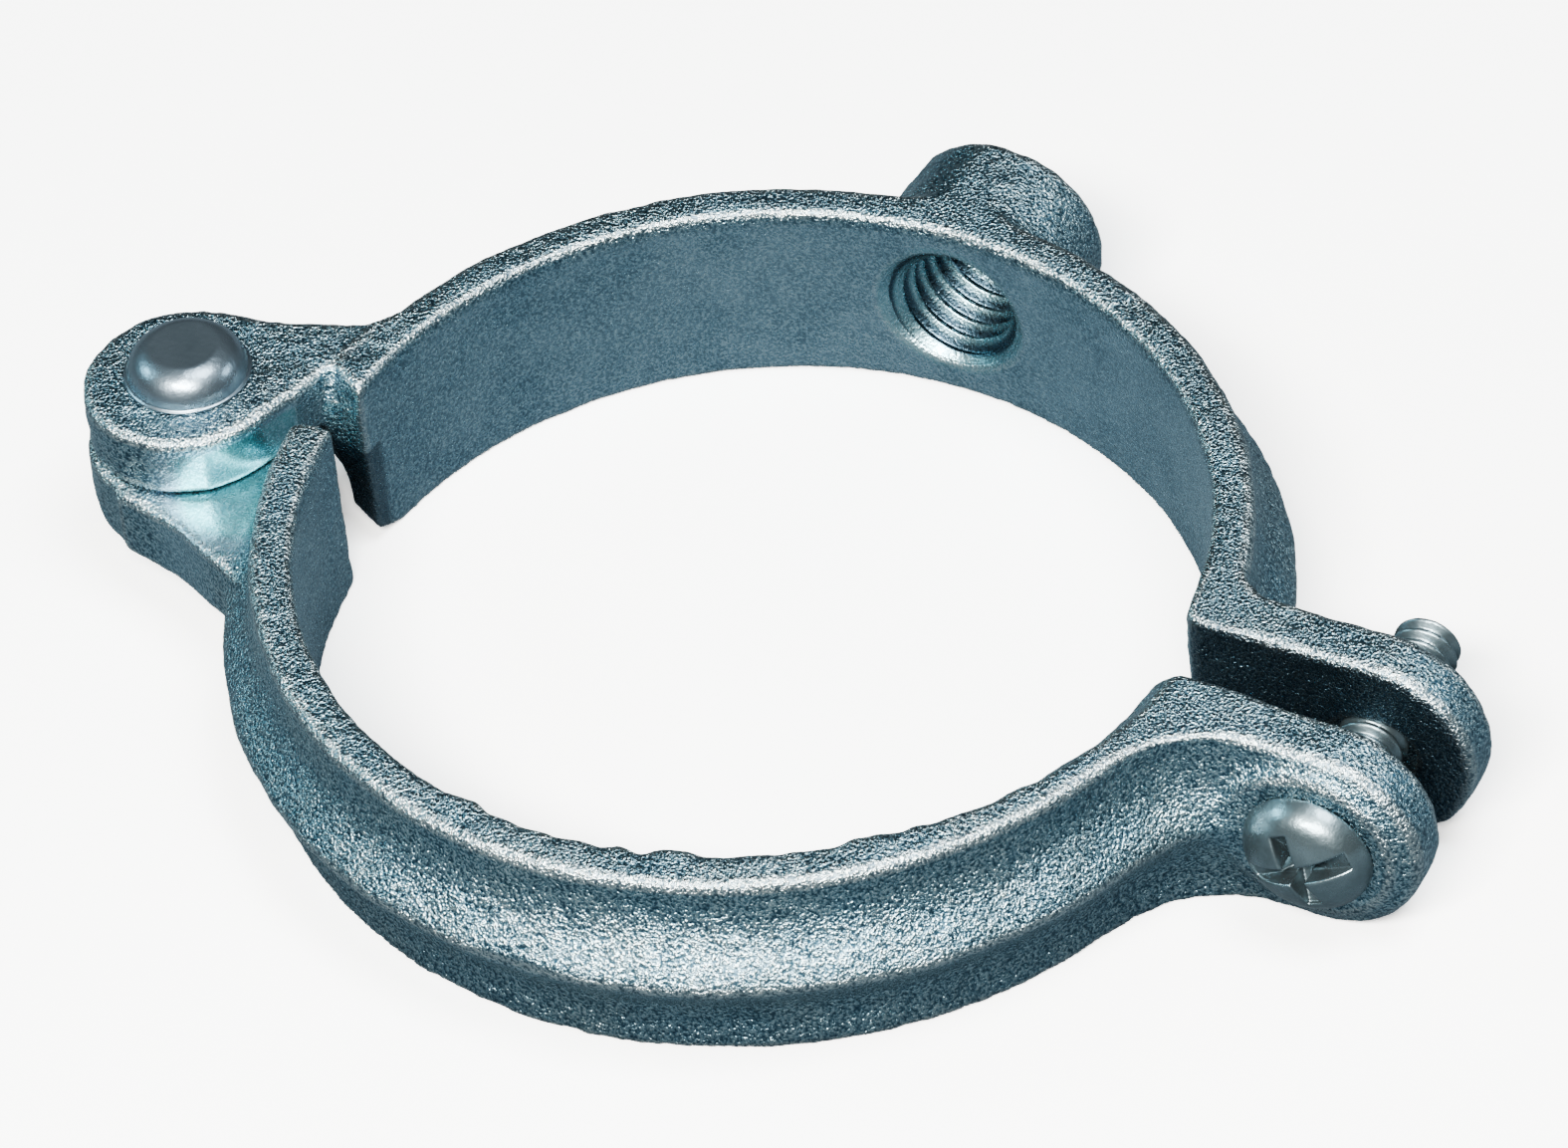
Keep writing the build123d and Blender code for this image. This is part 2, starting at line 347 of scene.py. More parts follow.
def cast_piece(name, field, node, dark, smooth):
    """A casting: its field's surface, moved along the outward slope by the cast skin, less
    where zinc pooled, and kept inside the CAD node's box. Dark gives the painted shade
    at points, and smooth the pooled zinc, which in the bore also carries painted light."""
    low, high = low_high(node)
    points, quads = surface_net(field, low, high, CAST_STEP)
    edge, pooled = bend(field, points, BEND_REACH), smooth(*points.T)
    relief = cast_skin(points) * (1 - POOL_FILLS * pooled)
    skin = points + slope(field, points, SLOPE_REACH) * relief[:, None]
    marks = {"edge": edge, "dark": dark(*points.T), "smooth": pooled}
    return put_mesh(name, np.clip(skin, low, high), quads, **marks)


# ---------------------------------------------------------------------------
# Rod half
# ---------------------------------------------------------------------------
# The free end's edge, from the bore to the wall's outside, and the length and the rise of
# the cut at its lower corner.
ROD_END_INNER = on_circle(RING, 177.8)
ROD_END_OUTER = on_circle(OUTER, 175.2)
ROD_END_CORNER = (2.4, 1.5)
# Outlines of the lugs' webs, seen from above.
ROD_WEB = [
    (-43.0, 4.6),
    (-43.0, -6.0),
    (-38.9, -6.6),
    (-36.1, -4.2),
    (-35.1, -0.6),
    (-32.4, 3.4),
    (-32.6, 8.4),
]


def rod_half_end(x, y, z):
    """The band's free end by the hinge: the distance past a plane that slants through the
    wall, let out by up to 1 mm on its outer side at the height of the lugs, with the lower
    corner cut away by a second plane."""
    along = (ROD_END_OUTER - ROD_END_INNER) / np.linalg.norm(ROD_END_OUTER - ROD_END_INNER)
    end = (x - ROD_END_INNER[0]) * -along[1] + (y - ROD_END_INNER[1]) * along[0]
    outward = np.clip((np.hypot(x, y) - RING) / WALL, 0, 1)
    end = end - outward * np.clip((z - 5) / 3, 0, 1) * np.clip((HEIGHT - 0.5 - z) / 2, 0, 1)
    length, rise = ROD_END_CORNER
    corner = ((end + length) * rise - length * z) / math.hypot(rise, length)
    return trim_to(end, corner, 0.8)


def rod_boss(x, y, z):
    """The boss: a barrel along Y, wider by its draft the further back from its end."""
    barrel = np.hypot(x, z - MIDDLE) - MIDDLE - BOSS_DRAFT * (BOSS_END - y)
    return trim_to(barrel, slab(y, RING + 1, BOSS_END), 0.9)


def rod_half_lug(x, y, z):
    """The upper lug: a disc a little off the rivet, flowed into its web and cut flat."""
    plate = np.hypot(x - PIN_X + 0.15, y - PIN_Y + 0.5) - LUG_RADIUS + 0.35
    plate = blend_in(plate, polygon(x, y, ROD_WEB), 1.5)
    return trim_to(plate, slab(z, LAP, LUG_TOP), LUG_ROUND)


def rod_hole(x, y, z):
    """The rod's hole: a cylinder along Y that clears the thread, and a cone at its mouth in
    the bore. It begins at ROD_HOLE_START, inside the bore."""
    across = np.hypot(x, z - MIDDLE)
    mouth = (across - ROD_MOUTH + y - ROD_MOUTH_Y) * 0.7
    return np.maximum(np.minimum(across - ROD_MAJOR - 0.12, mouth), ROD_HOLE_START - y)


def tapped_hole(x, y, z):
    """The screw's hole: a slot with round ends, let out along X so that the screw's tip
    swings past, and sunk by a cone at the mating face."""
    relief = x - np.clip(x, SCREW_X - LET_IN, SCREW_X + LET_OUT)
    hole = np.hypot(relief, z - MIDDLE) - ROD_SCREW_HOLE
    sink = hole - np.maximum(SCREW_SINK - (y - ROD_EAR_FACE), 0)
    return np.where(x > 0, np.minimum(hole, sink), 9)


def rod_half_field(x, y, z):
    """Band, ear, rod boss and hinge lug, flowed into each other, less the bore of the
    pipe and the three holes."""
    body = trim_to(band(x, y, z), rod_half_end(x, y, z), 0.6)
    body = blend_in(body, tongue(x, y, z, ROD_EAR_FACE, ROD_EAR_FACE + EAR), 2.0)
    body = blend_in(body, rod_boss(x, y, z), 1.2)
    body = blend_in(body, rod_half_lug(x, y, z), 1.0)
    bore = bore_edge(x, y, z, 0.05)
    inner = np.where(x > 0, trim_to(ROD_EAR_FACE - y, bore, 1.3), bore)
    body = trim_to(body, inner, BORE_ROUND)
    body = trim_to(body, slab(z, 0, HEIGHT), FACE_ROUND)
    body = trim_to(body, -rod_hole(x, y, z), HOLE_ROUND)
    body = trim_to(body, -tapped_hole(x, y, z), HOLE_ROUND)
    rivet_hole = np.hypot(x - PIN_X, y - PIN_Y) - ROD_RIVET_HOLE
    return trim_to(body, -rivet_hole, HOLE_ROUND)


def painted_foot_shade(x, y, z):
    """Painted shade: a light darkening of the wall below the rib."""
    return 0.35 * within(z, -1, 2.8, 1.2) * (np.hypot(x, y) > OUTER - 1)


def rod_half_painted_shade(x, y, z):
    """Painted shade on the face that meets the other ear, on the end of the band by the hinge,
    and on the foot.
    """
    mating = within(y, ROD_EAR_FACE - 1, ROD_EAR_FACE + 0.12, 0.25) * (x > 0)
    end = within(y, -3, 2.6, 0.6) * (x > -34.5) * (x < 0) * (z < 9)
    return np.clip(mating + end + painted_foot_shade(x, y, z), 0, 1)


def pooled_zinc_and_painted_light(x, y, z):
    """Zinc pooled round the lap of the two lugs and in the rod hole's mouths. It lies more
    thinly in the bore and more thickly towards the back, round the rod hole; that rise
    is painted light, which makes the bore's far wall lighter."""
    low = within(np.hypot(x + 36.3, y + 5.5), -1, 4.5, 3.2) * within(z, 0, 13.5, 0.8)
    radius = np.hypot(x, y)
    # Painted light: in the bore the mark grows towards the back, so the far wall comes out
    # lighter.
    wall = (0.25 + 0.3 * np.clip(y / RING, 0, 1)) * within(z, 0, HEIGHT - 1.5, 0.8)
    mouth = 0.75 * within(np.hypot(x, z - MIDDLE), -1, 5.7, 0.5) * (y > RING - 3)
    return np.maximum(np.where(radius > RING + 0.5, low, wall), mouth)


# ---------------------------------------------------------------------------
# Hinged half, in its own frame: turned shut about the pin by OPENING
# ---------------------------------------------------------------------------
HINGED_START = math.radians(184.7)
# Nubs of flash left on the bore's upper edge: angle in degrees and radius.
FLASH = [
    (-78.6, 0.6),
    (-73.5, 0.9),
    (-71.0, 0.8),
    (-50.1, 0.9),
    (-47.5, 0.8),
    (-43.0, 0.7),
    (-15.8, 0.8),
    (-99.0, 0.8),
]
HINGED_WEB = [
    (-37.6, 2.9),
    (-43.4, -9.3),
    (-37.4, -12.0),
    (-31.5, -14.8),
    (-32.0, -5.6),
    (-34.6, -1.4),
]


def turned_shut(x, y):
    """Where a point of the hinged half would lie if it were turned shut about the rivet by
    OPENING."""
    across, up = x - PIN_X, y - PIN_Y
    shut_x = PIN_X + across * math.cos(OPENING) - up * math.sin(OPENING)
    return shut_x, PIN_Y + across * math.sin(OPENING) + up * math.cos(OPENING)


def bore_wear(angle):
    """How far back the bore's upper edge is worn, at an angle in degrees: it grows as a
    square from 75 degrees short of the ear."""
    return 0.1 + 1.5 * np.clip((angle + 75) / 60, 0, 1) ** 2


def screw_pad(x, y, z):
    """The raised pad under the screw's head: a short round on the ear's back."""
    pad = np.hypot(x - SCREW_X, z - MIDDLE) - PAD_RADIUS
    return trim_to(pad, slab(y, HINGED_EAR_BACK - PAD_RISE, HINGED_EAR_BACK + 1), 0.7)


def hinged_half_lug(x, y, z):
    """The lower lug: a disc a little in front of the rivet, flowed into its web and cut
    flat."""
    plate = np.hypot(x - PIN_X, y - PIN_Y + 0.6) - LUG_RADIUS
    plate = blend_in(plate, polygon(x, y, HINGED_WEB), 3.0)
    return trim_to(plate, slab(z, LUG_FOOT, LAP - 0.1), LUG_ROUND)


def hinged_half_field(x, y, z):
    """As the rod half: band, ear with the screw's pad, and the lower hinge lug. The
    bore's edge is worn back more and more towards the ear, and nubs of flash stand on it
    as small balls."""
    x, y = turned_shut(x, y)
    end = x * math.sin(HINGED_START) - y * math.cos(HINGED_START)
    body = trim_to(band(x, y, z), end, 0.8)
    body = blend_in(body, tongue(x, y, z, HINGED_EAR_FACE, HINGED_EAR_BACK), 7.0)
    body = blend_in(body, screw_pad(x, y, z), 1.7)
    body = blend_in(body, hinged_half_lug(x, y, z), 1.1)
    bore = bore_edge(x, y, z, bore_wear(np.degrees(np.arctan2(y, x))))
    inner = np.where(x > 0, trim_to(y - HINGED_EAR_FACE, bore, 0.9), bore)
    body = trim_to(body, inner, BORE_ROUND)
    for angle, size in FLASH:
        nub_x, nub_y = on_circle(RING + bore_wear(angle) + 0.35, angle)
        nub = np.sqrt((x - nub_x) ** 2 + (y - nub_y) ** 2 + (z - HEIGHT + size) ** 2) - size
        body = blend_in(body, nub, 0.9)
    body = trim_to(body, slab(z, 0, HEIGHT), FACE_ROUND)
    screw_hole = np.hypot(x - SCREW_X, z - MIDDLE) - HINGED_SCREW_HOLE
    body = trim_to(body, -np.where(x > 0, screw_hole, 9), 0.3)
    rivet_hole = np.hypot(x - PIN_X, y - PIN_Y) - HINGED_RIVET_HOLE
    return trim_to(body, -rivet_hole, HOLE_ROUND)


def hinged_half_smooth(x, y, z):
    """The same pooled zinc and painted light, where they would lie if the hinged half were
    turned shut.
    """
    return pooled_zinc_and_painted_light(*turned_shut(x, y), z)


def hinged_half_painted_shade(x, y, z):
    """Painted shade on the face that meets the other ear, and on the foot."""
    x, y = turned_shut(x, y)
    mating = within(y, HINGED_EAR_FACE - 0.12, 0, 0.25) * (x > 0)
    return np.clip(mating + painted_foot_shade(x, y, z), 0, 1)


# ---------------------------------------------------------------------------
# Rod thread, clamp screw and rivet
# ---------------------------------------------------------------------------
# The threaded sleeve's outside, the screw's thread and recess, and the rivet's shank, tail
# and the thin rim of its head.
SLEEVE_RADIUS = 5.5
SCREW_THREAD_DEPTH = 0.52
RECESS_TILT = math.radians(26)
RIVET_SHANK = 2.38
RIVET_TAIL_RADIUS = 3.4
RIVET_TAIL_RISE = 1.5
RIVET_RIM = 0.22


def turned(radius, height, around=180):
    """A surface of revolution about +Z through the origin: rings of points at the given
    radii and heights. A ring on the axis is drawn together to one point, which closes
    the end with a fan of triangles."""
    turn = np.linspace(0, 2 * np.pi, around, endpoint=False)
    ring_x = radius[:, None] * np.cos(turn)
    ring_y = radius[:, None] * np.sin(turn)
    ring_z = np.repeat(height[:, None], around, axis=1)
    points = np.stack([ring_x, ring_y, ring_z], axis=-1).reshape(-1, 3)
    a = np.arange(len(radius) - 1)[:, None] * around + np.arange(around)
    b = np.arange(len(radius) - 1)[:, None] * around + (np.arange(around) + 1) % around
    faces = np.stack([a, b, b + around, a + around], axis=-1).reshape(-1, 4)
    points, where = np.unique(points.round(6), axis=0, return_inverse=True)
    faces = where.reshape(-1)[faces]
    faces = np.concatenate([faces[:, [0, 1, 2]], faces[:, [0, 2, 3]]])
    whole = (faces != np.roll(faces, 1, axis=1)).all(axis=1)
    return points, faces[whole]


def thread_wave(phase):
    """One thread: a 60 degree flank with a flat crest and root, from 0 to 1."""
    rise = np.abs((phase % 1) * 2 - 1)
    return np.clip((rise - 0.1) / 0.72, 0, 1)


def rod_thread():
    """The tapped wall of the boss: radius is a function of angle and depth, a thread wave
    wound along Y, opened at both ends by a cone. The sleeve's outside lies in the casting."""
    around, along = 256, 160
    start, stop = ROD_MOUTH_Y + 0.6, BOSS_END - 0.25
    turn = np.linspace(0, 2 * np.pi, around, endpoint=False)
    y = np.linspace(start, stop, along)
    wave = thread_wave(y[:, None] / ROD_PITCH + turn / (2 * np.pi))
    radius = ROD_MINOR + (ROD_MAJOR - ROD_MINOR) * wave
    inner_cone = ROD_MOUTH - (y - ROD_MOUTH_Y)
    outer_cone = ROD_MINOR + 0.93 - (stop - y)
    radius = np.maximum(radius, np.maximum(inner_cone, outer_cone)[:, None])
    outside = np.full((1, around), SLEEVE_RADIUS)
    radius = np.concatenate([radius, outside, outside])
    y = np.concatenate([y, y[[-1, 0]]])
    rows = np.repeat(y[:, None], around, axis=1)
    x = radius * np.cos(turn)
    z = MIDDLE + radius * np.sin(turn)
    points = np.stack([x, rows, z], axis=-1).reshape(-1, 3)
    row = np.arange(len(y))[:, None]
    col = np.arange(around)
    a = row * around + col
    b = row * around + (col + 1) % around
    c = (row + 1) % len(y) * around + (col + 1) % around
    d = (row + 1) % len(y) * around + col
    faces = np.stack([a, b, c, d], axis=-1).reshape(-1, 4)
    # Painted shade: the dark mark darkens all of the tapped hole a little, and its thread's
    # roots most.
    groove = np.clip((wave - 0.2) / 0.35, 0, 1)
    groove = np.concatenate([groove, np.zeros((2, around))]).reshape(-1)
    return put_mesh("rod_thread", points, faces, edge=0, dark=0.2 + 1.05 * groove, smooth=0.8)


def driver_recess(u, y, w):
    """The slot crossed by a cross whose floor rises with the distance from the screw's
    axis, both turned about it by RECESS_TILT."""
    p = u * math.cos(RECESS_TILT) + w * math.sin(RECESS_TILT)
    q = w * math.cos(RECESS_TILT) - u * math.sin(RECESS_TILT)
    slot = np.maximum(np.maximum(np.abs(q) - 0.65, np.abs(p) - 3.75), y - SCREW_TOP - 1.5)
    wing = np.maximum(np.abs(p) - 0.55, np.abs(q) - 2.9)
    wing = np.minimum(wing, np.maximum(np.abs(q) - 0.55, np.abs(p) - 2.9))
    cross = np.maximum(wing, (y - SCREW_TOP - 2.6 + 0.55 * np.hypot(u, w)) * 0.85)
    return np.minimum(slot, cross)


def screw_field(x, y, z):
    """Shank with its thread, which is shallow between the ears, and the pan head: a dome
    inside a cylinder, less the driver's recess."""
    u, w = x - SCREW_X, z - MIDDLE
    out = np.hypot(u, w)
    turn = np.arctan2(w, u) / (2 * np.pi)
    seat = SCREW_TOP + HEAD_HEIGHT
    cut = np.clip((y + 2.5) / 3.5, 0.3, 1) * (y > seat + 1.2)
    depth = SCREW_THREAD_DEPTH * (1 - thread_wave(y / SCREW_PITCH + turn)) * cut
    shank = (out - SHANK_RADIUS + depth) * 0.8
    shank = trim_to(shank, slab(y, seat - 1, SCREW_TIP), 0.5)
    crown = 0.5 * (HEAD_RADIUS ** 2 + HEAD_HEIGHT ** 2) / HEAD_HEIGHT + 1.4
    dome = np.sqrt(out ** 2 + (y - SCREW_TOP - crown) ** 2) - crown
    head = trim_to(trim_to(out - HEAD_RADIUS, dome, 1.4), y - seat, 0.3)
    return trim_to(np.minimum(shank, head), -driver_recess(u, y, w), 0.2)


def clamp_screw():
    """The screw's surface, kept inside the CAD node's box."""
    points, quads = surface_net(screw_field, SCREW_LOW, SCREW_HIGH, FINE_STEP)
    return put_mesh("clamp_screw_body", np.clip(points, SCREW_LOW, SCREW_HIGH), quads)


def hinge_rivet():
    """Tail, shank and low domed head, turned about Z. The tail is a quarter ellipse. The
    dome is a fuller one with a flat top, from powers of sine and cosine. A faint noise
    keeps it from being perfectly round."""
    head = (RIVET_HIGH[0] - RIVET_LOW[0]) / 2
    seat, top, tail = LUG_TOP, RIVET_HIGH[2], RIVET_LOW[2]
    a = np.linspace(0, math.pi / 2, 14)
    tail_r = RIVET_TAIL_RADIUS * np.sin(a)
    tail_z = tail + RIVET_TAIL_RISE * (1 - np.cos(a))
    b = np.linspace(0, math.pi / 2, 40)
    dome_r = (head - RIVET_RIM) * np.cos(b) ** 0.62
    crown = np.minimum(1.10 * np.sin(b) ** 1.1, 1)
    dome_z = seat + RIVET_RIM + (top - seat - RIVET_RIM) * crown
    shank_r, shank_z = [RIVET_SHANK, RIVET_SHANK], [tail_z[-1], seat]
    rim_r, rim_z = [head - 0.1, head, head - 0.08], [seat, seat + 0.1, seat + 0.2]
    radius = np.concatenate([tail_r, shank_r, rim_r, dome_r])
    height = np.concatenate([tail_z, shank_z, rim_z, dome_z])
    points, faces = turned(radius, height)
    points = points + [PIN_X, PIN_Y, 0]
    points = points + 0.03 * grain(points, 1.6, 9)[:, None] * np.array([0.5, 0.5, 1])
    return put_mesh("hinge_rivet_body", np.clip(points, RIVET_LOW, RIVET_HIGH), faces)


# ---------------------------------------------------------------------------
# Materials
# ---------------------------------------------------------------------------
class Nodes:
    """Short calls for wiring a node tree."""

    def __init__(self, tree):
        self.tree = tree

    def add(self, kind, **settings):
        node = self.tree.nodes.new(kind)
        for key, value in settings.items():
            setattr(node, key, value)
        return node

    def link(self, source, target):
        self.tree.links.new(source, target)

    def feed(self, value, socket):
        """Links a socket to another node's output, or sets it to a colour or a number."""
        if hasattr(value, "is_linked"):
            self.link(value, socket)
        elif isinstance(value, tuple):
            socket.default_value = (*value, 1)
        else:
            socket.default_value = value

    def place(self):
        """Object coordinates, in metres."""
        return self.add("ShaderNodeTexCoord").outputs["Object"]

    def mark(self, name):
        """A mark that put_mesh gave to every point."""
        return self.add("ShaderNodeAttribute", attribute_name=name).outputs["Fac"]

    def noise(self, place, scale, detail=3.0, roughness=0.6):
        """A fractal noise from 0 to 1."""
        node = self.add("ShaderNodeTexNoise")
        self.feed(scale, node.inputs["Scale"])
        node.inputs["Detail"].default_value = detail
        node.inputs["Roughness"].default_value = roughness
        self.link(place, node.inputs["Vector"])
        return node.outputs["Fac"]

    def ramp(self, source, stops):
        """Colours by value, from stops of position and colour."""
        node = self.add("ShaderNodeValToRGB")
        ramp = node.color_ramp
        while len(ramp.elements) < len(stops):
            ramp.elements.new(0.5)
        for element, (position, colour) in zip(ramp.elements, stops):
            element.position = position
            element.color = (*colour, 1)
        self.link(source, node.inputs["Fac"])
        return node.outputs["Color"]

    def range(self, source, low, high, to_low, to_high):
        """A straight line from to_low at low to to_high at high, held past both ends."""
        node = self.add("ShaderNodeMapRange")
        ends = {"From Min": low, "From Max": high, "To Min": to_low, "To Max": to_high}
        for key, value in ends.items():
            node.inputs[key].default_value = value
        self.link(source, node.inputs["Value"])
        return node.outputs["Result"]

    def mix(self, factor, a, b, blend="MIX"):
        """Colour b laid over colour a by the factor."""
        node = self.add("ShaderNodeMix", data_type="RGBA", blend_type=blend)
        for value, index in ((factor, 0), (a, 6), (b, 7)):
            self.feed(value, node.inputs[index])
        return node.outputs[2]

    def maths(self, kind, a, b):
        node = self.add("ShaderNodeMath", operation=kind)
        self.feed(a, node.inputs[0])
        self.feed(b, node.inputs[1])
        return node.outputs[0]

    def bump(self, height, distance, strength):
        """The normal that a height from 0 to 1 gives, where 1 stands the distance high."""
        node = self.add("ShaderNodeBump")
        node.inputs["Distance"].default_value = distance
        node.inputs["Strength"].default_value = strength
        self.link(height, node.inputs["Height"])
        return node.outputs["Normal"]


def material(name, metallic):
    """A new material with its node calls and its shader, wired to the output."""
    made = bpy.data.materials.new(name)
    made.use_nodes = True
    made.node_tree.nodes.clear()
    nodes = Nodes(made.node_tree)
    shader = nodes.add("ShaderNodeBsdfPrincipled")
    shader.inputs["Metallic"].default_value = metallic
    output = nodes.add("ShaderNodeOutputMaterial")
    nodes.link(shader.outputs[0], output.inputs["Surface"])
    return made, nodes, shader


def casting_material():
    """Zinc on sand-cast iron: a blue-grey metal whose grit catches the light, with a painted
    highlight along the edges, smoother teal zinc where it pooled, which in the bore also
    carries painted light, and painted shade where the piece's own mark asks for it."""
    made, nodes, shader = material("galvanised_casting", 1.0)
    place = nodes.place()
    edge, dark, smooth = nodes.mark("edge"), nodes.mark("dark"), nodes.mark("smooth")
    fine = nodes.noise(place, 4400, 2.0, 0.55)
    broad = nodes.noise(place, 220)
    # The speckle is partly the grit's own random tone and partly painted: darker in the grit's
    # hollows as painted shade, lighter on its tops as painted glints.
    hollow = (0.37, (0.025, 0.057, 0.083))
    skin = (0.50, (0.14, 0.23, 0.275))
    grain_top = (0.66, (0.45, 0.56, 0.58))
    speckle = nodes.ramp(fine, [hollow, skin, grain_top])
    tint = nodes.ramp(broad, [(0.35, (0.72, 0.86, 0.92)), (0.65, (1.0, 1.0, 0.98))])
    base = nodes.mix(0.8, speckle, tint, "MULTIPLY")
    # Painted highlight: convex edges are lightened towards pale zinc, a highlight line along
    # them.
    edge_highlight_strength = nodes.range(edge, 0.4, 0.95, 0, 0.6)
    edge_highlight_paint = nodes.maths("MULTIPLY", edge_highlight_strength, nodes.range(fine, 0.40, 0.55, 0.15, 1))
    base = nodes.mix(edge_highlight_paint, base, (0.48, 0.51, 0.49))
    zinc = nodes.ramp(smooth, [(0.6, (0.34, 0.50, 0.59)), (0.9, (0.15, 0.38, 0.41))])
    cover = nodes.maths("MULTIPLY", smooth, nodes.range(broad, 0.35, 0.65, 0.45, 0.95))
    base = nodes.mix(cover, base, zinc)
    # Painted shade: where the dark mark asks, the colour goes towards near-black blue.
    base = nodes.mix(nodes.maths("MULTIPLY", dark, 0.75), base, (0.02, 0.04, 0.06))
    nodes.link(base, shader.inputs["Base Color"])
    nodes.link(nodes.range(fine, 0.3, 0.7, 0.35, 0.2), shader.inputs["Roughness"])
    grit = nodes.range(fine, 0.40, 0.72, 0, 1)
    rough = nodes.range(smooth, 0, 1, 1, 0.1)
    normal = nodes.bump(nodes.maths("MULTIPLY", grit, rough), 0.06 * MM, 1.0)
    nodes.link(normal, shader.inputs["Normal"])
    return made


def handling_marks():
    """Shared by the steels: broad mottling and fine marks, each a noise from 0 to 1 of
    its own scale."""
    tree = bpy.data.node_groups.new("handling_marks", "ShaderNodeTree")
    for name in ("mottle", "marks"):
        tree.interface.new_socket(f"{name} scale", in_out="INPUT", socket_type="NodeSocketFloat")
        tree.interface.new_socket(name, in_out="OUTPUT", socket_type="NodeSocketFloat")
    nodes = Nodes(tree)
    place = nodes.place()
    inputs = nodes.add("NodeGroupInput").outputs
    outputs = nodes.add("NodeGroupOutput").inputs
    nodes.link(nodes.noise(place, inputs["mottle scale"], 4.0), outputs["mottle"])
    nodes.link(nodes.noise(place, inputs["marks scale"]), outputs["marks"])
    return tree


def plated_material(name, colour, roughness, worn, mottle_scale, marks_scale):
    """Smooth plated steel with faint mottling and fine handling marks."""
    made, nodes, shader = material(name, 0.95)
    group = nodes.add("ShaderNodeGroup", node_tree=worn)
    group.inputs["mottle scale"].default_value = mottle_scale
    group.inputs["marks scale"].default_value = marks_scale
    marks = group.outputs
    dark = tuple(0.55 * c for c in colour)
    tone = nodes.ramp(marks["mottle"], [(0.3, dark), (0.7, colour)])
    gloss = nodes.range(marks["mottle"], 0.3, 0.7, roughness + 0.1, roughness)
    nodes.link(tone, shader.inputs["Base Color"])
    nodes.link(gloss, shader.inputs["Roughness"])
    nodes.link(nodes.bump(marks["marks"], 0.1 * MM, 0.35), shader.inputs["Normal"])
    return made


# ---------------------------------------------------------------------------
# Pieces on their bodies
# ---------------------------------------------------------------------------
def finish_piece(piece, body, node, finish):
    """Gives a piece its material and body, and hides the CAD node it stands in for."""
    piece.data.materials.append(finish)
    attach(piece, body)
    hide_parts(node)


casting = casting_material()
worn = handling_marks()
rivet_steel = plated_material("rivet_steel", (0.15, 0.20, 0.24), 0.24, worn, 420, 1500)
screw_steel = plated_material("screw_steel", (0.13, 0.18, 0.20), 0.24, worn, 480, 1700)

rod_half = cast_piece("rod_half_casting", rod_half_field, "rod_half", rod_half_painted_shade, pooled_zinc_and_painted_light)
hinged_half = cast_piece(
    "hinged_half_casting", hinged_half_field, "hinged_half", hinged_half_painted_shade, hinged_half_smooth
)
finish_piece(rod_half, "rod_half", "rod_half", casting)
finish_piece(rod_thread(), "rod_half", "rod_half", casting)
finish_piece(hinged_half, "hinged_half", "hinged_half", casting)
finish_piece(hinge_rivet(), "rod_half", "hinge_rivet", rivet_steel)
finish_piece(clamp_screw(), "clamp_screw", "clamp_screw", screw_steel)


# ---------------------------------------------------------------------------
# Floor, light and camera
# ---------------------------------------------------------------------------
def floor():
    """Pale paper that glows faintly, as the camera sees it. To every other ray it is
    near-black: a painted shade, which is what the metal reflects."""
    side = 6.0
    square = np.array([[-0.5, -0.5, 0], [0.5, -0.5, 0], [0.5, 0.5, 0], [-0.5, 0.5, 0]])
    piece = put_mesh("floor", square * side / MM, [[0, 1, 2, 3]])
    made, nodes, shader = material("floor_paper", 0.0)
    fleck = nodes.noise(nodes.place(), 30, 2.0)
    shade = nodes.ramp(fleck, [(0.0, (0.88, 0.885, 0.89)), (1.0, (0.93, 0.93, 0.93))])
    # Painted shade: the paper is near-black to reflections and bounced light, and pale only to
    # the camera.
    seen = nodes.add("ShaderNodeLightPath").outputs["Is Camera Ray"]
    nodes.link(nodes.mix(seen, (0.012, 0.022, 0.03), shade), shader.inputs["Base Color"])
    glow = nodes.mix(seen, (0.0, 0.0, 0.0), (1.0, 1.0, 1.0))
    nodes.link(glow, shader.inputs["Emission Color"])
    shader.inputs["Emission Strength"].default_value = 0.35
    shader.inputs["Roughness"].default_value = 0.9
    piece.data.materials.append(made)


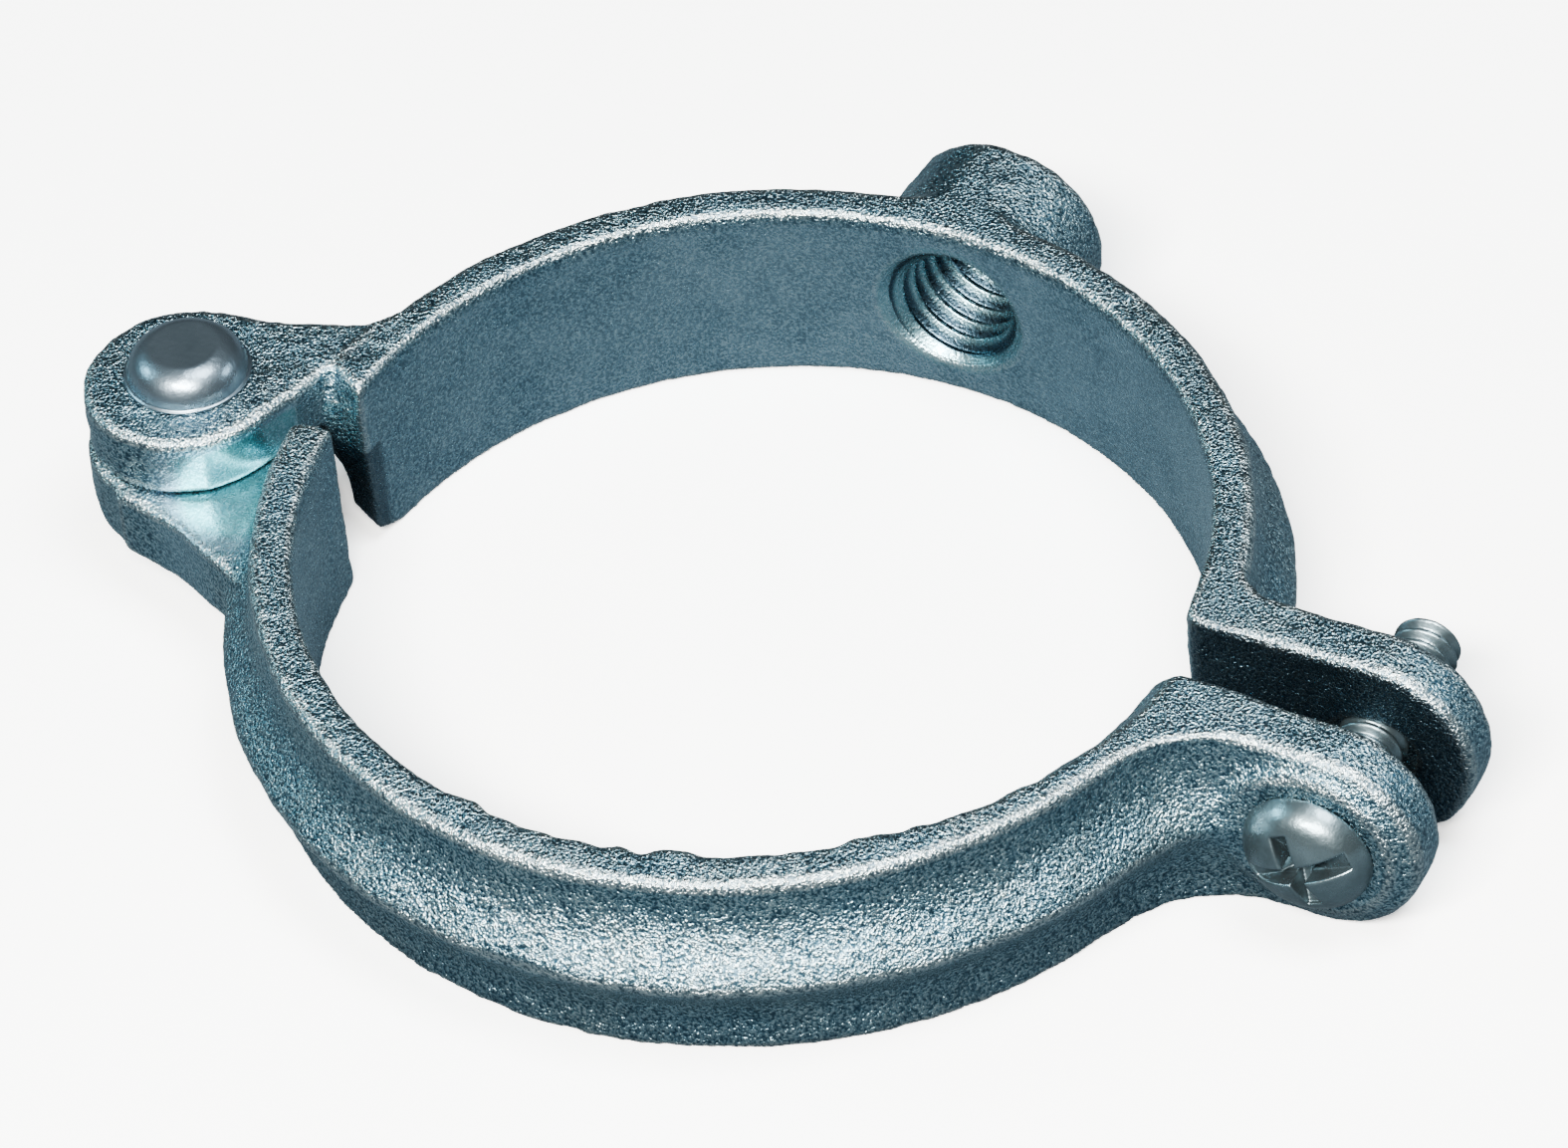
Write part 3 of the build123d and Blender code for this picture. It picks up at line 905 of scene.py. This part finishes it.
def soft_light(name, place, aim, width, depth, power, colour):
    """A rectangular lamp at a place, turned to face the aim."""
    lamp = bpy.data.lights.new(name, "AREA")
    lamp.shape = "RECTANGLE"
    lamp.size, lamp.size_y = width, depth
    lamp.energy = power
    lamp.color = colour
    holder = bpy.data.objects.new(name, lamp)
    bpy.context.collection.objects.link(holder)
    holder.location = place
    holder.rotation_euler = (Vector(aim) - Vector(place)).to_track_quat("-Z", "Y").to_euler()


def studio():
    """Pale floor, four soft lamps and a faint blue air."""
    floor()
    soft_light("key_light", (0.1, -0.5, 0.6), (0, 0, 0), 0.45, 0.16, 56.0, (1.0, 0.97, 0.92))
    soft_light("top_light", (0.25, 0.0, 0.8), (0, 0, 0), 0.35, 0.35, 20.0, (0.94, 0.98, 1.0))
    soft_light("left_light", (-0.65, -0.15, 0.45), (0, 0, 0), 0.25, 0.2, 4.0, (0.45, 0.88, 1.0))
    soft_light("right_light", (0.6, 0.35, 0.35), (0, 0, 0), 0.3, 0.2, 2.0, (0.75, 0.92, 1.0))
    world = bpy.data.worlds.new("studio_air")
    world.use_nodes = True
    world.node_tree.nodes["Background"].inputs["Color"].default_value = (0.2, 0.4, 0.55, 1)
    world.node_tree.nodes["Background"].inputs["Strength"].default_value = 0.03
    bpy.context.scene.world = world


def camera():
    """Looks down at the ring from in front and a little to the right, rolled slightly.
    Lengths are in metres, apart from the lens and its sensor, which are in millimetres."""
    azimuth, elevation, roll = math.radians(29.834), math.radians(43.906), 0.09798
    distance = 0.5232
    target = Vector((-0.00302, 0.00806, 0))
    level, rise = math.cos(elevation), math.sin(elevation)
    back = Vector((math.sin(azimuth) * level, -math.cos(azimuth) * level, rise))
    right = Vector((math.cos(azimuth), math.sin(azimuth), 0))
    up = back.cross(right)
    rolled_right = right * math.cos(roll) - up * math.sin(roll)
    rolled_up = right * math.sin(roll) + up * math.cos(roll)
    lens = bpy.data.cameras.new("camera")
    lens.sensor_width = 36.0
    lens.lens = 172.24
    lens.shift_x = 0.0030
    lens.shift_y = 0.0077
    lens.clip_start = 0.01
    holder = bpy.data.objects.new("camera", lens)
    bpy.context.collection.objects.link(holder)
    turn = Matrix((rolled_right, rolled_up, back)).transposed().to_4x4()
    holder.matrix_world = Matrix.Translation(target + back * distance) @ turn
    bpy.context.scene.camera = holder


studio()
camera()
